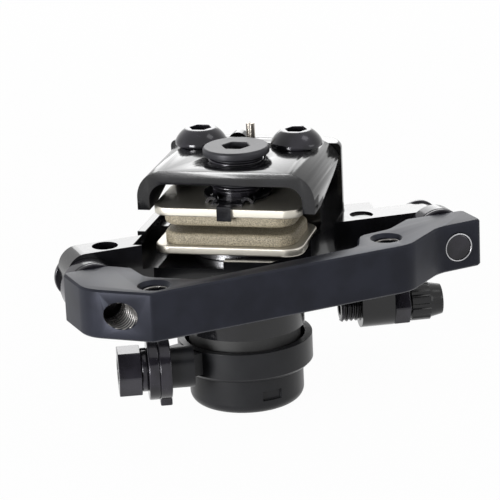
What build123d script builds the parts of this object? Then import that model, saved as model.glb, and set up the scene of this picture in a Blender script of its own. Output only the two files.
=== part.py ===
from build123d import *

import os
from math import cos, radians, sin, sqrt, tan

# Cable-pull disc brake caliper on its frame bracket, in millimetres.
# Origin: the actuator's axis where it crosses the rotor's mid-plane.
# X runs along the pads' width, Y away from the hub, and Z along the axle, away from the actuator.

os.makedirs("parts", exist_ok=True)

# Shared clearances and limits
running_fit = 0.05
side_clearance = 0.3
overrun = 2.0
arm_travel_degrees = 45.0
pad_lift = 1.0

# Brake pads, the same above and below the rotor
rotor_gap = 1.5
friction_thickness = 2.35
backing_thickness = 1.7
pad_width = 30.2
pad_front = 11.5
pad_rear = 6.6
pad_corner = 3.5
pad_side_gap = 0.4
tab_width = 9.2
tab_rear = 16.0
tab_corner = 2.5
friction_side_margin = 1.6
friction_front_margin = 1.0
friction_rear_margin = 0.8
friction_corner = 4.0
friction_bevel = 0.5
pin_distance = 12.6
pin_radius = 0.9
pad_face = rotor_gap / 2
pad_back = pad_face + friction_thickness + backing_thickness

# Stamped outer plate
plate_thickness = 2.8
plate_room = 4.5
flange_thickness = 2.5
plate_width = pad_width + 2 * (pad_side_gap + flange_thickness)
flange_bottom = 3.95
flange_rise = 5.0
plate_front = 10.5
plate_rear = 15.6
plate_bend = 5.6
plate_inner_bend = 3.2
plate_edge_round = 0.35
plate_underside = pad_back + plate_room
plate_top = plate_underside + plate_thickness

# Button-head bolts, the plate's and the caliper's
bolt_radius = 3.0
plate_head_radius = 5.25
mount_head_radius = 4.7
bolt_head_height = 3.3
bolt_socket_flats = 4.0
bolt_socket_depth = 2.0
bolt_tip_chamfer = 0.5
bolt_head_rim = 0.8
bolt_head_land = 2.9
plate_bolt_spread = pad_width - 2 * plate_head_radius + side_clearance
plate_bolt_distance = 10.6
plate_bolt_length = 12.0

# Fixed pad's adjusting screw and its foot
adjuster_thread_radius = 5.75
adjuster_head_radius = 6.7
adjuster_head_thickness = 1.5
adjuster_head_gap = 1.1
adjuster_socket_flats = 5.0
adjuster_socket_depth = 3.4
adjuster_bottom_gap = 0.1
foot_radius = 5.0
foot_thickness = 1.7
foot_stem_radius = 2.4
foot_stem_length = 2.6

# Caliper body
deck = -3.2
body_bottom = -13.0
pocket_rim = 1.6
side_wall = 4.3
body_left = pad_width / 2 + side_wall
body_front = 14.0
bridge_half_width = plate_width / 2
column_half_width = plate_width / 2 - flange_thickness - side_clearance
bridge_rear = 22.0
bridge_drop = 1.0
hump_offset = -4.2
hump_radius = 2.2
hump_rise = 1.2
bridge_corner = 5.5
column_front = 6.9
slot_half_width = 5.2
slot_rear = 18.4
pad_guide_length = 5.0
mouth_radius = 12.2
mouth_floor = -6.6
body_round = 1.2
wall_front_margin = 0.5
wall_front_x = pad_width / 2 + wall_front_margin
wall_front_y = 4.5
wall_mid_margin = 3.1
wall_mid_x = pad_width / 2 + wall_mid_margin
wall_mid_y = 5.0
pad_floor = -(pad_back + side_clearance)

# Post mount: the two bolts that hold the caliper to the bracket
mount_turn = 34.3
post_pitch = 74.2
post_offset = 3.3
post_axis_height = -8.1
post_seat = -8.7
ear_front = -4.2
ear_back = 2.2
ear_radius = 5.0
ear_hole_radius = 3.1
left_ear_root = 20.0
left_ear_reach = 3.9
left_ear_above = 6.5
left_ear_below = 6.0
left_ear_corner = 4.0
right_ear_root = 16.0
ear_end_drop = 0.7
ear_window_radius = 2.6
ear_window_along = 28.8
ear_window_out = -1.0
ear_window_depth = 4.0
dimple_along = 26.2
dimple_radius = 2.4
dimple_depth = 0.4
post_bolt_length = 19.5
washer_radius = 5.6
washer_bore = 3.3
washer_sphere = 8.0
washer_rim = 0.9

# Bracket between the frame and the caliper
bracket_turn = 41.0
bracket_thickness = 9.8
frame_hole_pitch = 51.0
frame_hole_offset = -3.8
frame_hole_distance = -21.3
tapped_radius = 2.5
hole_chamfer = 0.75
bracket_edge = 0.4
seat_half_width = 6.4
seat_end_half_width = 5.1
seat_reach_half_width = 7.7
seat_step_half_width = 3.2
end_right_reach = 5.6
end_right_depth = 7.65
swell_reach = 4.4
swell_depth = 8.8
end_left_reach = 5.65
end_left_depth = 11.7
bracket_large_round = 7.0
bracket_middle_round = 3.5
bracket_small_round = 1.2

# Housing neck and the ball-ramp actuator
neck_radius = 12.4
neck_bottom = -22.5
bore_radius = 9.55
bore_bottom = -19.6
key_width = 3.0
key_depth = 0.9
piston_length = 6.2
piston_recess_radius = 5.0
piston_recess_depth = 1.4
ring_wire_radius = 0.65
ring_groove_width = 1.5
ring_groove_drop = 2.4
ball_radius = 2.0
ball_count = 3
ball_circle = 6.6
ball_seat_depth = 1.2
ramp_gap = 1.3
ramp_flange_thickness = 2.8
cage_thickness = 0.7
cage_width = 3.4
thrust_thickness = 1.0
spindle_radius = 5.0
bush_wall = 1.5
spindle_flats = 7.6
spindle_thread_radius = 2.5
spindle_thread_depth = 9.0

# Actuator arm, hanging under the neck
arm_direction = 228.0
arm_radius = 13.8
arm_top = -24.9
arm_bottom = -31.0
arm_floor = 2.6
arm_wall = 1.5
arm_rim_round = 0.8
seal_gap = 0.9
seal_radius = arm_radius - arm_wall - seal_gap
seal_wall = 1.6
seal_depth = 3.4
lug_radius = 4.2
lug_root = 2.2
lug_reach = 2.5
lug_start = arm_radius - lug_root
lug_face = arm_radius + lug_reach
lug_web_width = 8.0
lug_web_height = 4.6
lug_web_root = 3.8
lug_web_reach = 2.0
lug_web_start = arm_radius - lug_web_root
lug_web_end = arm_radius + lug_web_reach

# Return spring, a torsion coil round the spindle
spring_wire = 1.3
spring_mean_radius = (seal_radius - seal_wall + spindle_radius) / 2
spring_turns = 2
spring_pitch = 1.8
spring_top_gap = 0.35

# Arm screw and end cap
screw_head_radius = 5.0
screw_head_height = 3.0
screw_thread_length = 8.0
screw_washer_radius = 6.4
screw_washer_thickness = 1.0
cap_step = 2.1
cap_radius = arm_radius - cap_step
cap_bottom = -38.7
cap_wall = 1.4
cap_corner = 2.2
cap_latch_width = 4.2
cap_latch_height = 2.0
cap_latch_depth = 0.7
cap_latch_direction = -50.0

# Cable clamp at the arm's end
clamp_direction = 200.0
clamp_out = 10.3
clamp_height = -27.4
clamp_bolt_radius = 2.5
clamp_head_flats = 9.0
clamp_head_height = 4.6
clamp_recess_radius = 2.6
clamp_recess_depth = 0.8
spring_washer_radius = 4.4
spring_washer_thickness = 1.3
spring_washer_split = 1.0
clamp_washer_radius = 6.2
clamp_washer_thickness = 2.2
clamp_plate_thickness = 2.4
clamp_leg_width = 4.0
clamp_leg_length = 7.4
clamp_bolt_length = 9.6

# Cable's barrel adjuster and its lug on the body
barrel_turn = 22.8
barrel_height = -27.4
barrel_out = 16.4
barrel_boss_start = 27.1
barrel_boss_radius = 4.5
barrel_boss_length = 7.0
barrel_thread_radius = 3.0
barrel_bore = 1.5
barrel_inner_length = 4.2
barrel_knob_radius = 4.15
barrel_knob_length = 6.8
barrel_cone_length = 2.8
barrel_cone_radius = 3.2
housing_bore = 2.55
housing_bore_depth = 5.5
flute_count = 10
flute_radius = 0.75
locknut_flats = 8.0
locknut_thickness = 3.5
barrel_arm_top = -6.0
barrel_arm_drop = 2.4
barrel_arm_end = 31.0
knob_gap = 0.35

# Pad spring clip and retaining pin
clip_thickness = 0.6
clip_tongue_width = 2.9
clip_bar_width = 6.4
clip_bar_length = 2.4
clip_bar_front = 9.8
clip_hook_drop = 2.3
clip_ring_width = 1.7
clip_loop_radius = 1.3
clip_loop_length = 2.4
clip_loop_offset = 3.6
pin_top = 16.0
pin_bottom = -6.2
pin_slit = 0.3
pin_slit_depth = 6.0

# Worked-out heights
ramp_top = bore_bottom + thrust_thickness + ramp_flange_thickness
lifter_bottom = ramp_top + ramp_gap
ball_height = ramp_top - ball_seat_depth + ball_radius
piston_bottom = -pad_back - piston_length
spring_top = neck_bottom - spring_top_gap - spring_wire / 2
post_left = post_offset - post_pitch / 2
post_right = post_offset + post_pitch / 2


def turned(along, out, turn):
    """Point on the XY plane from a distance along and across a direction turned about Z."""
    angle = radians(turn)
    return (along * cos(angle) - out * sin(angle), along * sin(angle) + out * cos(angle))


def upright_plane(out, turn, height=0):
    """Upright plane, its X along the turned direction and its normal towards the hub."""
    angle = radians(turn)
    x, y = turned(0, out, turn)
    return Plane(origin=(x, y, height), x_dir=(cos(angle), sin(angle), 0), z_dir=(sin(angle), -cos(angle), 0))


def facing_plane(along, out, turn, height):
    """Upright plane that faces along the turned direction, its Y upwards."""
    angle = radians(turn)
    x, y = turned(along, out, turn)
    return Plane(origin=(x, y, height), x_dir=(-sin(angle), cos(angle), 0), z_dir=(cos(angle), sin(angle), 0))


def bracket_point(along_share, out_share):
    """Bracket outline point, in shares of the frame holes' pitch from the holes' middle."""
    along = frame_hole_offset + along_share * frame_hole_pitch
    return turned(along, frame_hole_distance + out_share * frame_hole_pitch, bracket_turn)


def seat_point(along, depth=0):
    """Bracket outline point at a distance along the seats and a depth behind their faces."""
    return turned(along, post_seat - depth, mount_turn)


def save(part, name):
    """Labels a finished piece and writes its STEP file."""
    part.label = name
    export_step(part, f"parts/{name}.step")


# Bracket: flat machined bar with two tapped frame holes and two tapped seats for the caliper.
# Its middle's points are shares of the frame holes' pitch, and its ends follow the caliper's seats.
front_left_share = (-0.555, -0.086)
front_right_share = (0.535, -0.130)
waist_right_share = (0.565, 0.100)
boss_back_share = (0.425, 0.092)
bar_right_share = (0.352, -0.030)
bar_left_share = (-0.330, -0.022)
step_left_share = (-0.478, 0.110)
step_rear_share = (-0.478, 0.245)
corner_room_share = 0.45
bracket_top = deck
bracket_bottom = bracket_top - bracket_thickness
bracket_corners = [
    (bracket_point(*front_left_share), bracket_small_round),
    (bracket_point(*front_right_share), bracket_large_round),
    (seat_point(post_right - swell_reach, swell_depth), bracket_large_round),
    (seat_point(post_right + end_right_reach, end_right_depth), bracket_small_round),
    (seat_point(post_right + seat_end_half_width), bracket_small_round),
    (seat_point(post_right - seat_reach_half_width), bracket_small_round),
    (bracket_point(*waist_right_share), bracket_middle_round),
    (bracket_point(*boss_back_share), bracket_middle_round),
    (bracket_point(*bar_right_share), bracket_middle_round),
    (bracket_point(*bar_left_share), bracket_middle_round),
    (bracket_point(*step_left_share), bracket_middle_round),
    (bracket_point(*step_rear_share), bracket_small_round),
    (seat_point(post_left + seat_step_half_width), bracket_small_round),
    (seat_point(post_left - seat_half_width), bracket_small_round),
    (seat_point(post_left - end_left_reach, end_left_depth), bracket_large_round),
]
bracket_points = [corner[0] for corner in bracket_corners]


def corner_round(index):
    """Radius of one bracket corner, within what its two sides leave room for."""
    here = Vector(*bracket_points[index])
    before = Vector(*bracket_points[index - 1]) - here
    after = Vector(*bracket_points[(index + 1) % len(bracket_points)]) - here
    half_turn = radians(180 - before.get_angle(after)) / 2
    room = corner_room_share * min(before.length, after.length)
    return min(bracket_corners[index][1], room / tan(half_turn))


with BuildPart() as adapter_bracket:
    with BuildSketch(Plane.XY.offset(bracket_bottom)) as bracket_outline:
        with BuildLine():
            Polyline(*bracket_points, close=True)
        make_face()
        for index, point in enumerate(bracket_points):
            corner = bracket_outline.vertices().sort_by_distance(point)[0]
            fillet(corner, radius=corner_round(index))
    extrude(amount=bracket_thickness)
    ends = adapter_bracket.faces().filter_by(Axis.Z)
    chamfer(ends.edges(), length=bracket_edge)
    for along in (-frame_hole_pitch / 2, frame_hole_pitch / 2):
        center = turned(frame_hole_offset + along, frame_hole_distance, bracket_turn)
        with BuildSketch(Plane.XY.offset(bracket_bottom)):
            with Locations(center):
                Circle(tapped_radius)
        extrude(amount=bracket_thickness, mode=Mode.SUBTRACT)
        for height, rise in ((bracket_top, -hole_chamfer), (bracket_bottom, hole_chamfer)):
            with BuildSketch(Plane.XY.offset(height)):
                with Locations(center):
                    Circle(tapped_radius + hole_chamfer)
            with BuildSketch(Plane.XY.offset(height + rise)):
                with Locations(center):
                    Circle(tapped_radius)
            loft(mode=Mode.SUBTRACT)
    for along in (post_left, post_right):
        with BuildSketch(upright_plane(post_seat, mount_turn, post_axis_height)):
            with Locations((along, 0)):
                Circle(bolt_radius)
        extrude(amount=frame_hole_pitch, mode=Mode.SUBTRACT)
save(adapter_bracket.part, "adapter_bracket")


# Body: one casting with the lower pad's pocket, the bridge over the rotor, the ears,
# the actuator's neck and the barrel adjuster's lug.
pocket_half_width = pad_width / 2 + pad_side_gap
plate_bolt_places = [(side * plate_bolt_spread / 2, plate_bolt_distance) for side in (-1, 1)]
bridge_top = plate_top - bridge_drop
bush_radius = spindle_radius + bush_wall

with BuildPart() as caliper_body:
    with BuildSketch(Plane.XY.offset(body_bottom)):
        with BuildLine():
            Polyline(
                (-bridge_half_width, bridge_rear),
                (-body_left, slot_rear),
                (-body_left, -pad_front),
                turned(-left_ear_root, ear_front, mount_turn),
                (bore_radius, -body_front),
                (wall_front_x, -wall_front_y),
                (wall_mid_x, wall_mid_y),
                (bridge_half_width, bridge_rear),
                close=True,
            )
        body_face = make_face()
        fillet(body_face.vertices().group_by(Axis.Y)[-1], radius=bridge_corner)
        fillet(body_face.vertices().group_by(Axis.Y)[0], radius=body_round)
    extrude(amount=deck - body_bottom)
    with BuildSketch(upright_plane(ear_back, mount_turn, post_axis_height)) as left_ear:
        with BuildLine():
            Polyline(
                (post_left - left_ear_reach, -left_ear_below),
                (-bore_radius, -left_ear_below),
                (-bore_radius, left_ear_above),
                (post_left - left_ear_reach, left_ear_above),
                close=True,
            )
        make_face()
        fillet(left_ear.vertices().group_by(Axis.X)[0], radius=left_ear_corner)
    extrude(amount=ear_back - ear_front)
    with BuildSketch(Plane.XY.offset(deck)):
        with BuildLine():
            Polyline(
                (-bridge_half_width, bridge_rear - bridge_corner),
                (-body_left, slot_rear),
                (-body_left, -body_front / 2),
                (pocket_rim - body_left, -body_front / 2),
                (pocket_rim - body_left, bridge_rear - bridge_corner),
                close=True,
            )
        make_face()
    extrude(amount=post_axis_height + left_ear_above - deck)
    with BuildSketch(upright_plane(ear_back, mount_turn, post_axis_height)):
        with Locations((post_right, 0)):
            Circle(ear_radius - ear_end_drop)
        with BuildLine():
            Polyline(
                (post_right, -ear_radius + ear_end_drop),
                (right_ear_root, -ear_radius),
                (right_ear_root, ear_radius),
                (post_right, ear_radius - ear_end_drop),
                close=True,
            )
        make_face()
    extrude(amount=ear_back - ear_front)
    with BuildSketch(Plane.XY.offset(deck)):
        with Locations((0, (column_front + bridge_rear - bridge_corner) / 2)):
            Rectangle(2 * column_half_width, bridge_rear - bridge_corner - column_front)
    extrude(amount=plate_underside - deck)
    fillet(caliper_body.edges().filter_by(Axis.Y).group_by(Axis.Z)[-1], radius=plate_inner_bend)
    with BuildSketch(Plane.XY.offset(deck)):
        with Locations((0, (plate_rear + side_clearance + bridge_rear) / 2)):
            rear_face = Rectangle(2 * bridge_half_width, bridge_rear - plate_rear - side_clearance)
        fillet(rear_face.vertices().group_by(Axis.Y)[-1], radius=bridge_corner)
    extrude(amount=bridge_top - deck)
    fillet(caliper_body.edges().filter_by(Axis.X).group_by(Axis.Z)[-1].sort_by(Axis.Y)[-1], radius=body_round)
    with BuildSketch(Plane.XZ.offset(-bridge_rear + body_round)):
        with Locations((hump_offset, bridge_top + hump_rise - hump_radius)):
            Circle(hump_radius)
    extrude(amount=bridge_rear - body_round - slot_rear)
    with BuildSketch(Plane.XY.offset(neck_bottom)):
        Circle(neck_radius)
    extrude(amount=body_bottom - neck_bottom)
    with BuildSketch(facing_plane(barrel_boss_start, barrel_out, barrel_turn, barrel_height)):
        Circle(barrel_boss_radius)
        with Locations((0, (body_bottom - barrel_arm_drop - barrel_height) / 2)):
            Rectangle(2 * barrel_boss_radius, body_bottom - barrel_arm_drop - barrel_height)
    extrude(amount=barrel_boss_length)
    with BuildSketch(Plane.XY.offset(body_bottom - barrel_arm_drop - barrel_boss_radius)):
        with BuildLine():
            Polyline(
                turned(bore_radius, bore_radius, barrel_turn),
                turned(barrel_boss_start, barrel_out - barrel_boss_radius, barrel_turn),
                turned(barrel_arm_end, barrel_out - barrel_boss_radius, barrel_turn),
                turned(barrel_arm_end, barrel_out + barrel_boss_radius, barrel_turn),
                turned(barrel_boss_start, barrel_out + barrel_boss_radius, barrel_turn),
                turned(neck_radius, barrel_out + barrel_boss_radius / 2, barrel_turn),
                close=True,
            )
        make_face()
    extrude(amount=barrel_arm_top - body_bottom + barrel_arm_drop + barrel_boss_radius)
    with BuildSketch(Plane.XY.offset(pad_floor)):
        with Locations((0, (column_front - body_front - overrun - pad_front) / 2)):
            Rectangle(2 * pocket_half_width, column_front + body_front + overrun + pad_front)
    extrude(amount=deck - pad_floor + overrun, mode=Mode.SUBTRACT)
    with BuildSketch(Plane.XY.offset(mouth_floor)):
        Circle(mouth_radius)
        with BuildLine():
            Polyline(
                (pocket_rim - body_left, -body_front - overrun),
                (0, -body_front - overrun),
                (0, column_front - pad_guide_length),
                (pocket_rim - body_left, column_front - pad_guide_length),
                close=True,
            )
        make_face()
    extrude(amount=deck - mouth_floor + overrun, mode=Mode.SUBTRACT)
    with BuildSketch(Plane.XY.offset(pad_floor)):
        with Locations((0, (column_front - overrun + slot_rear) / 2)):
            Rectangle(2 * slot_half_width, slot_rear - column_front + overrun)
    extrude(amount=bridge_top - pad_floor + overrun, mode=Mode.SUBTRACT)
    with BuildSketch(Plane.XY.offset(bore_bottom)):
        Circle(bore_radius)
    extrude(amount=deck - bore_bottom, mode=Mode.SUBTRACT)
    with BuildSketch(Plane.XY.offset(bore_bottom)):
        Rectangle(2 * (bore_radius + key_depth), key_width)
    extrude(amount=pad_floor - bore_bottom, mode=Mode.SUBTRACT)
    with BuildSketch(Plane.XY.offset(neck_bottom)):
        Circle(bush_radius)
    extrude(amount=bore_bottom - neck_bottom, mode=Mode.SUBTRACT)
    with BuildSketch(Plane.XY.offset(plate_underside)):
        with Locations(*plate_bolt_places):
            Circle(bolt_radius)
    extrude(amount=-plate_bolt_length, mode=Mode.SUBTRACT)
    with BuildSketch(Plane.XY.offset(pad_floor)):
        with Locations((0, pin_distance)):
            Circle(pin_radius + running_fit)
    extrude(amount=pin_bottom - pad_floor - side_clearance, mode=Mode.SUBTRACT)
    with BuildSketch(upright_plane(ear_back, mount_turn, post_axis_height)):
        with Locations((post_left, 0), (post_right, 0)):
            Circle(ear_hole_radius)
    extrude(amount=ear_back - ear_front, mode=Mode.SUBTRACT)
    with BuildSketch(facing_plane(barrel_boss_start, barrel_out, barrel_turn, barrel_height)):
        Circle(barrel_thread_radius + running_fit)
    extrude(amount=barrel_boss_length, mode=Mode.SUBTRACT)
    with BuildSketch(Plane.XY.offset(post_axis_height + left_ear_above)):
        with Locations(turned(-ear_window_along, ear_window_out, mount_turn)):
            Circle(ear_window_radius)
    extrude(amount=-ear_window_depth, mode=Mode.SUBTRACT)
    with BuildSketch(Plane.XY.offset(post_axis_height + ear_radius)):
        with Locations(turned(dimple_along, ear_window_out, mount_turn)):
            Circle(dimple_radius)
    extrude(amount=-dimple_depth - ear_end_drop / 2, mode=Mode.SUBTRACT)
save(caliper_body.part, "caliper_body")


# Outer plate: pressed steel channel that carries the fixed pad's adjuster over the rotor
with BuildPart() as outer_plate:
    with BuildSketch(Plane.XZ.offset(plate_front)):
        with BuildLine():
            FilletPolyline(
                (-plate_width / 2, flange_bottom),
                (-plate_width / 2, plate_top),
                (plate_width / 2, plate_top),
                (plate_width / 2, flange_bottom),
                radius=plate_bend,
            )
            Line((plate_width / 2, flange_bottom), (plate_width / 2 - flange_thickness, flange_bottom))
            FilletPolyline(
                (plate_width / 2 - flange_thickness, flange_bottom),
                (plate_width / 2 - flange_thickness, plate_underside),
                (-plate_width / 2 + flange_thickness, plate_underside),
                (-plate_width / 2 + flange_thickness, flange_bottom),
                radius=plate_inner_bend,
            )
            Line((-plate_width / 2 + flange_thickness, flange_bottom), (-plate_width / 2, flange_bottom))
        make_face()
    extrude(amount=-plate_front - plate_rear)
    with BuildSketch(Plane.YZ.offset(-plate_width)):
        with BuildLine():
            Polyline(
                (-plate_front / 2, flange_bottom - overrun),
                (-plate_front / 2, flange_bottom),
                (plate_rear + overrun, flange_bottom + flange_rise),
                (plate_rear + overrun, flange_bottom - overrun),
                close=True,
            )
        make_face()
    extrude(amount=2 * plate_width, mode=Mode.SUBTRACT)
    with BuildSketch(Plane.XY.offset(plate_underside - plate_inner_bend)):
        Circle(adjuster_thread_radius + running_fit)
        with Locations(*plate_bolt_places):
            Circle(bolt_radius + running_fit)
        with Locations((0, pin_distance)):
            Circle(pin_radius + running_fit)
    extrude(amount=plate_inner_bend + plate_thickness, mode=Mode.SUBTRACT)
save(outer_plate.part, "outer_plate")


def button_bolt(length, head_radius):
    """Button-head bolt on Z, its head's underside at zero height."""
    with BuildPart() as bolt:
        with BuildSketch(Plane.XZ):
            with BuildLine():
                Polyline(
                    (0, bolt_head_height),
                    (0, -length),
                    (bolt_radius - bolt_tip_chamfer, -length),
                    (bolt_radius, bolt_tip_chamfer - length),
                    (bolt_radius, 0),
                    (head_radius, 0),
                    (head_radius, bolt_head_rim),
                )
                RadiusArc((head_radius, bolt_head_rim), (bolt_head_land, bolt_head_height), -head_radius)
                Line((bolt_head_land, bolt_head_height), (0, bolt_head_height))
            make_face()
        revolve(axis=Axis.Z)
        with BuildSketch(Plane.XY.offset(bolt_head_height)):
            RegularPolygon(radius=bolt_socket_flats / 2, side_count=6, major_radius=False)
        extrude(amount=-bolt_socket_depth, mode=Mode.SUBTRACT)
    return bolt.part


def outward_plane(along, out, height):
    """Plane on a caliper bolt's axis, its normal away from the hub."""
    angle = radians(mount_turn)
    x, y = turned(along, out, mount_turn)
    return Plane(origin=(x, y, height), x_dir=(cos(angle), sin(angle), 0), z_dir=(-sin(angle), cos(angle), 0))


# Fasteners: two bolts hold the outer plate, and two hold the caliper to the bracket
plate_bolt_form = button_bolt(plate_bolt_length, plate_head_radius)
with BuildPart() as plate_bolts:
    for side in (-plate_bolt_spread / 2, plate_bolt_spread / 2):
        with Locations((side, plate_bolt_distance, plate_top)):
            add(plate_bolt_form)
save(plate_bolts.part, "plate_bolts")

mount_bolt_form = button_bolt(post_bolt_length, mount_head_radius)
with BuildPart() as mount_bolts:
    for along in (post_left, post_right):
        with Locations(outward_plane(along, ear_back, post_axis_height)):
            add(mount_bolt_form)
save(mount_bolts.part, "mount_bolts")

# Spherical washer pairs, which let the caliper line up with the rotor
dome_center = washer_rim - sqrt(washer_sphere**2 - washer_radius**2)
dome_height = dome_center + sqrt(washer_sphere**2 - washer_bore**2)
dome_middle = (washer_bore + washer_radius) / 2
dome_middle_height = dome_center + sqrt(washer_sphere**2 - dome_middle**2)

with BuildPart() as convex_form:
    with BuildSketch(Plane.XZ):
        with BuildLine():
            Polyline(
                (washer_bore, dome_height), (washer_bore, 0), (washer_radius, 0), (washer_radius, washer_rim)
            )
            ThreePointArc(
                (washer_radius, washer_rim), (dome_middle, dome_middle_height), (washer_bore, dome_height)
            )
        make_face()
    revolve(axis=Axis.Z)

with BuildPart() as concave_form:
    stack = ear_front - post_seat
    with BuildSketch(Plane.XZ):
        with BuildLine():
            Polyline(
                (washer_bore, dome_height),
                (washer_bore, stack),
                (washer_radius, stack),
                (washer_radius, washer_rim),
            )
            ThreePointArc(
                (washer_radius, washer_rim), (dome_middle, dome_middle_height), (washer_bore, dome_height)
            )
        make_face()
    revolve(axis=Axis.Z)

with BuildPart() as convex_washers:
    for along in (post_left, post_right):
        with Locations(outward_plane(along, post_seat, post_axis_height)):
            add(convex_form.part)
save(convex_washers.part, "convex_washers")

with BuildPart() as concave_washers:
    for along in (post_left, post_right):
        with Locations(outward_plane(along, post_seat, post_axis_height)):
            add(concave_form.part)
save(concave_washers.part, "concave_washers")


def pad_backing(bottom):
    """Steel backing plate of one pad, with its hanging tab and pin hole."""
    with BuildPart() as backing:
        with BuildSketch(Plane.XY.offset(bottom)):
            with Locations((0, (pad_rear - pad_front) / 2)):
                RectangleRounded(pad_width, pad_rear + pad_front, pad_corner)
            with Locations((0, (tab_rear - pad_rear) / 2)):
                RectangleRounded(tab_width, tab_rear + pad_rear, tab_corner)
            with Locations((0, pin_distance)):
                Circle(pin_radius + side_clearance, mode=Mode.SUBTRACT)
        extrude(amount=backing_thickness)
    return backing.part


def pad_friction(bottom, rotor_side):
    """Sintered friction block of one pad, bevelled on the side that meets the rotor."""
    front = pad_front - friction_front_margin
    rear = pad_rear - friction_rear_margin
    with BuildPart() as friction:
        with BuildSketch(Plane.XY.offset(bottom)):
            with Locations((0, (rear - front) / 2)):
                RectangleRounded(pad_width - 2 * friction_side_margin, rear + front, friction_corner)
        extrude(amount=friction_thickness)
        chamfer(friction.faces().sort_by(Axis.Z)[rotor_side].edges(), length=friction_bevel)
    return friction.part


save(pad_backing(pad_face + friction_thickness), "fixed_pad_backing")
save(pad_friction(pad_face, 0), "fixed_pad_friction")
save(pad_backing(-pad_back), "moving_pad_backing")
save(pad_friction(-pad_face - friction_thickness, -1), "moving_pad_friction")

# Pressure foot and adjusting screw of the fixed pad
foot_top = pad_back + foot_thickness
adjuster_bottom = foot_top + adjuster_bottom_gap
adjuster_head_bottom = plate_top + adjuster_head_gap

with BuildPart() as adjuster_foot:
    with BuildSketch(Plane.XY.offset(pad_back)):
        Circle(foot_radius)
    extrude(amount=foot_thickness)
    fillet(adjuster_foot.edges().group_by(Axis.Z)[-1], radius=plate_edge_round)
    with BuildSketch(Plane.XY.offset(foot_top)):
        Circle(foot_stem_radius)
    extrude(amount=foot_stem_length)
save(adjuster_foot.part, "adjuster_foot")

with BuildPart() as pad_adjuster:
    with BuildSketch(Plane.XY.offset(adjuster_bottom)):
        Circle(adjuster_thread_radius)
    extrude(amount=adjuster_head_bottom - adjuster_bottom)
    with BuildSketch(Plane.XY.offset(adjuster_head_bottom)):
        Circle(adjuster_head_radius)
    extrude(amount=adjuster_head_thickness)
    chamfer(pad_adjuster.edges().group_by(Axis.Z)[-1], length=plate_edge_round)
    with BuildSketch(Plane.XY.offset(adjuster_head_bottom + adjuster_head_thickness)):
        RegularPolygon(radius=adjuster_socket_flats / 2, side_count=6, major_radius=False)
    extrude(amount=-adjuster_socket_depth, mode=Mode.SUBTRACT)
    with BuildSketch(Plane.XY.offset(adjuster_bottom)):
        Circle(foot_stem_radius + running_fit)
    extrude(amount=foot_stem_length, mode=Mode.SUBTRACT)
save(pad_adjuster.part, "pad_adjuster")

# Spring clip that holds the fixed pad against its foot
clip_inner = foot_radius + side_clearance / 2
clip_bar_rear = clip_bar_front - clip_bar_length

with BuildPart() as pad_clip:
    with BuildSketch(Plane.XY.offset(pad_back)):
        Circle(clip_inner + clip_ring_width)
        with Locations((0, -(clip_inner + pad_front + clip_thickness) / 2)):
            Rectangle(clip_tongue_width, pad_front + clip_thickness - clip_inner)
        with Locations((0, -(clip_bar_front + clip_bar_rear) / 2)):
            Rectangle(clip_bar_width, clip_bar_length)
        Circle(clip_inner, mode=Mode.SUBTRACT)
    extrude(amount=clip_thickness)
    with BuildSketch(Plane.XY.offset(pad_back - clip_hook_drop)):
        with Locations((0, -pad_front - clip_thickness / 2 - running_fit)):
            Rectangle(clip_tongue_width, clip_thickness)
    extrude(amount=clip_hook_drop + clip_thickness)
    with BuildSketch(Plane.XZ.offset(clip_bar_rear - clip_loop_length)):
        for side in (-clip_loop_offset, clip_loop_offset):
            with Locations((side, pad_back)):
                Circle(clip_loop_radius)
        for side in (-clip_loop_offset, clip_loop_offset):
            with Locations((side, pad_back)):
                Circle(clip_loop_radius - clip_thickness, mode=Mode.SUBTRACT)
        with Locations((0, pad_back - clip_loop_radius)):
            Rectangle(pad_width, 2 * clip_loop_radius, mode=Mode.SUBTRACT)
    extrude(amount=clip_loop_length)
save(pad_clip.part, "pad_clip")

# Split pin through both pads' tabs
with BuildPart() as pad_pin:
    with BuildSketch(Plane.XY.offset(pin_bottom)):
        with Locations((0, pin_distance)):
            Circle(pin_radius)
    extrude(amount=pin_top - pin_bottom)
    with BuildSketch(Plane.XY.offset(pin_top)):
        with Locations((0, pin_distance)):
            Rectangle(pin_slit, pin_distance)
    extrude(amount=-pin_slit_depth, mode=Mode.SUBTRACT)
save(pad_pin.part, "pad_pin")

# Moving pad's piston and its ring
ring_height = -pad_back - ring_groove_drop
piston_radius = bore_radius - running_fit

with BuildPart() as piston:
    with BuildSketch(Plane.XY.offset(piston_bottom)):
        Circle(piston_radius)
    extrude(amount=piston_length)
    with BuildSketch(Plane.XY.offset(-pad_back)):
        Circle(piston_recess_radius)
    extrude(amount=-piston_recess_depth, mode=Mode.SUBTRACT)
    with BuildSketch(Plane.XY.offset(ring_height - ring_groove_width / 2)):
        Circle(piston_radius + overrun)
        Circle(piston_radius - 2 * ring_wire_radius, mode=Mode.SUBTRACT)
    extrude(amount=ring_groove_width, mode=Mode.SUBTRACT)
save(piston.part, "piston")

with BuildPart() as piston_ring:
    with BuildSketch(Plane.XZ):
        with Locations((piston_radius - ring_wire_radius, ring_height)):
            Circle(ring_wire_radius)
    revolve(axis=Axis.Z)
save(piston_ring.part, "piston_ring")

# Ball-ramp pair: the lower ramp turns with the arm, and the upper one lifts without turning
ramp_radius = bore_radius - side_clearance
ball_angles = [index * 360 / ball_count for index in range(ball_count)]
ramp_turn = arm_travel_degrees / 2


def ball_point(angle, drop=0):
    """Ball centre at an angle about the axis, lowered by a drop."""
    x, y = turned(ball_circle, 0, angle)
    return (x, y, ball_height - drop)


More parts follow.
